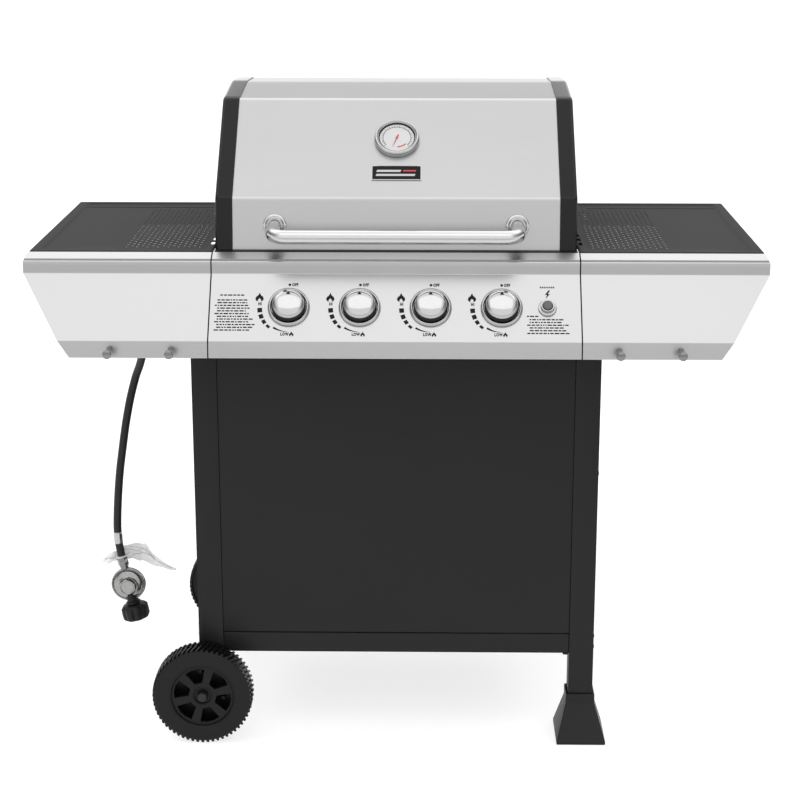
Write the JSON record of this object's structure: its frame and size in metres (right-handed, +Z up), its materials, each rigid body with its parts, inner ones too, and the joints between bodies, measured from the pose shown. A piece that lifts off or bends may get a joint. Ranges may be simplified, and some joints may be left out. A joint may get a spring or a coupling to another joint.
{
  "type": "gas barbecue grill",
  "caption": "Wheeled gas barbecue: stainless lid with thermometer, sloped control panel with push-and-turn knobs, two side shelves, cart on wheels and feet, hanging gas hose.",
  "frame": {"origin": "on the ground, under the middle of the grill's box (without the hose, regulator, coupling nut and tag)", "axes": "+X to the viewer's right across the side shelves, +Y to the back, +Z up; the control panel faces -Y"},
  "size_m": [1.22, 0.6944, 1.1101],
  "materials": {
    "stainless": "brushed satin, grain across the width",
    "black_enamel": "satin black powder coat",
    "shelf_enamel": "fine-textured dark grey powder coat",
    "black_plastic": "moulded, matte",
    "chrome": "bright plated",
    "zinc": "zinc plated, dull",
    "brass": "machined",
    "cast_iron": "matte porcelain",
    "hose_rubber": "matte",
    "clear_film": "thin creased film"
  },
  "bodies": {
    "root": {"axle_nut_front": "zinc", "axle_nut_rear": "zinc", "bottom_shelf": "black_enamel", "burner_1": "zinc", "burner_2": "zinc", "burner_3": "zinc", "burner_4": "zinc", "control_panel": "stainless", "cooking_grate_left": "cast_iron", "cooking_grate_right": "cast_iron", "firebox": "black_enamel", "foot_front_right": "black_plastic", "foot_rear_right": "black_plastic", "front_panel": "black_enamel", "gas_hose": "hose_rubber", "gas_manifold": "brass", "hinge_pin_left": "zinc", "hinge_pin_right": "zinc", "hose_tag": "clear_film", "igniter_bezel": "chrome", "knob_bezel_1": "chrome", "knob_bezel_2": "chrome", "knob_bezel_3": "chrome", "knob_bezel_4": "chrome", "leg_front_left": "black_enamel", "leg_front_right": "black_enamel", "leg_rear_left": "black_enamel", "leg_rear_right": "black_enamel", "rear_brace": "black_enamel", "regulator": "zinc", "shelf_fascia_left": "stainless", "shelf_fascia_right": "stainless", "side_rail_left": "black_enamel", "side_rail_right": "black_enamel", "side_shelf_left": "shelf_enamel", "side_shelf_right": "shelf_enamel", "tool_hook_1": "chrome", "tool_hook_2": "chrome", "tool_hook_3": "chrome", "tool_hook_4": "chrome", "warming_rack": "chrome", "wheel_axle": "zinc"},
    "lid": {"lid_shell": "stainless", "lid_cap_left": "black_enamel", "lid_cap_right": "black_enamel", "lid_handle": "stainless", "thermometer": "chrome"},
    "grease_tray": {"grease_tray": "stainless"},
    "igniter_button": {"igniter_button": "black_plastic"},
    "wheel_front": {"wheel_front": "black_plastic"},
    "wheel_rear": {"wheel_rear": "black_plastic"},
    "coupling_nut": {"coupling_nut": "black_plastic"},
    "valve_stem_1": {"valve_stem_1": "brass"},
    "knob_1": {"knob_1": "chrome"},
    "valve_stem_2": {"valve_stem_2": "brass"},
    "knob_2": {"knob_2": "chrome"},
    "valve_stem_3": {"valve_stem_3": "brass"},
    "knob_3": {"knob_3": "chrome"},
    "valve_stem_4": {"valve_stem_4": "brass"},
    "knob_4": {"knob_4": "chrome"}
  },
  "joints": [
    {"name": "lid_hinge", "type": "hinge", "parent": "root", "child": "lid", "pos_m": [0, 0.275, 0.892], "axis": [-1, 0, 0], "range_deg": [0, 80]},
    {"name": "knob_1_push", "type": "slide", "parent": "root", "child": "valve_stem_1", "axis": [0, 0.7825, -0.6227], "range_m": [0, 0.004], "stiffness_N_per_m": 800, "springref_m": -0.004},
    {"name": "knob_1_turn", "type": "hinge", "parent": "valve_stem_1", "child": "knob_1", "pos_m": [-0.1725, -0.261, 0.78675], "axis": [0, -0.7825, 0.6227], "range_deg": [0, 180]},
    {"name": "knob_2_push", "type": "slide", "parent": "root", "child": "valve_stem_2", "axis": [0, 0.7825, -0.6227], "range_m": [0, 0.004], "stiffness_N_per_m": 800, "springref_m": -0.004},
    {"name": "knob_2_turn", "type": "hinge", "parent": "valve_stem_2", "child": "knob_2", "pos_m": [-0.0575, -0.261, 0.78675], "axis": [0, -0.7825, 0.6227], "range_deg": [0, 180]},
    {"name": "knob_3_push", "type": "slide", "parent": "root", "child": "valve_stem_3", "axis": [0, 0.7825, -0.6227], "range_m": [0, 0.004], "stiffness_N_per_m": 800, "springref_m": -0.004},
    {"name": "knob_3_turn", "type": "hinge", "parent": "valve_stem_3", "child": "knob_3", "pos_m": [0.0575, -0.261, 0.78675], "axis": [0, -0.7825, 0.6227], "range_deg": [0, 180]},
    {"name": "knob_4_push", "type": "slide", "parent": "root", "child": "valve_stem_4", "axis": [0, 0.7825, -0.6227], "range_m": [0, 0.004], "stiffness_N_per_m": 800, "springref_m": -0.004},
    {"name": "knob_4_turn", "type": "hinge", "parent": "valve_stem_4", "child": "knob_4", "pos_m": [0.1725, -0.261, 0.78675], "axis": [0, -0.7825, 0.6227], "range_deg": [0, 180]},
    {"name": "igniter_push", "type": "slide", "parent": "root", "child": "igniter_button", "axis": [0, 0.7825, -0.6227], "range_m": [0, 0.005], "stiffness_N_per_m": 500, "springref_m": -0.004},
    {"name": "wheel_front_spin", "type": "hinge", "parent": "root", "child": "wheel_front", "pos_m": [-0.336, -0.2125, 0.0875], "axis": [0, 1, 0], "continuous": true},
    {"name": "wheel_rear_spin", "type": "hinge", "parent": "root", "child": "wheel_rear", "pos_m": [-0.336, 0.3205, 0.0875], "axis": [0, 1, 0], "continuous": true},
    {"name": "coupling_nut_spin", "type": "hinge", "parent": "root", "child": "coupling_nut", "pos_m": [-0.48116, -0.038, 0.18435], "axis": [-0.1994, 0, 0.9799], "continuous": true},
    {"name": "grease_tray_slide", "type": "slide", "parent": "root", "child": "grease_tray", "axis": [0, 1, 0], "range_m": [0, 0.25]}
  ]
}
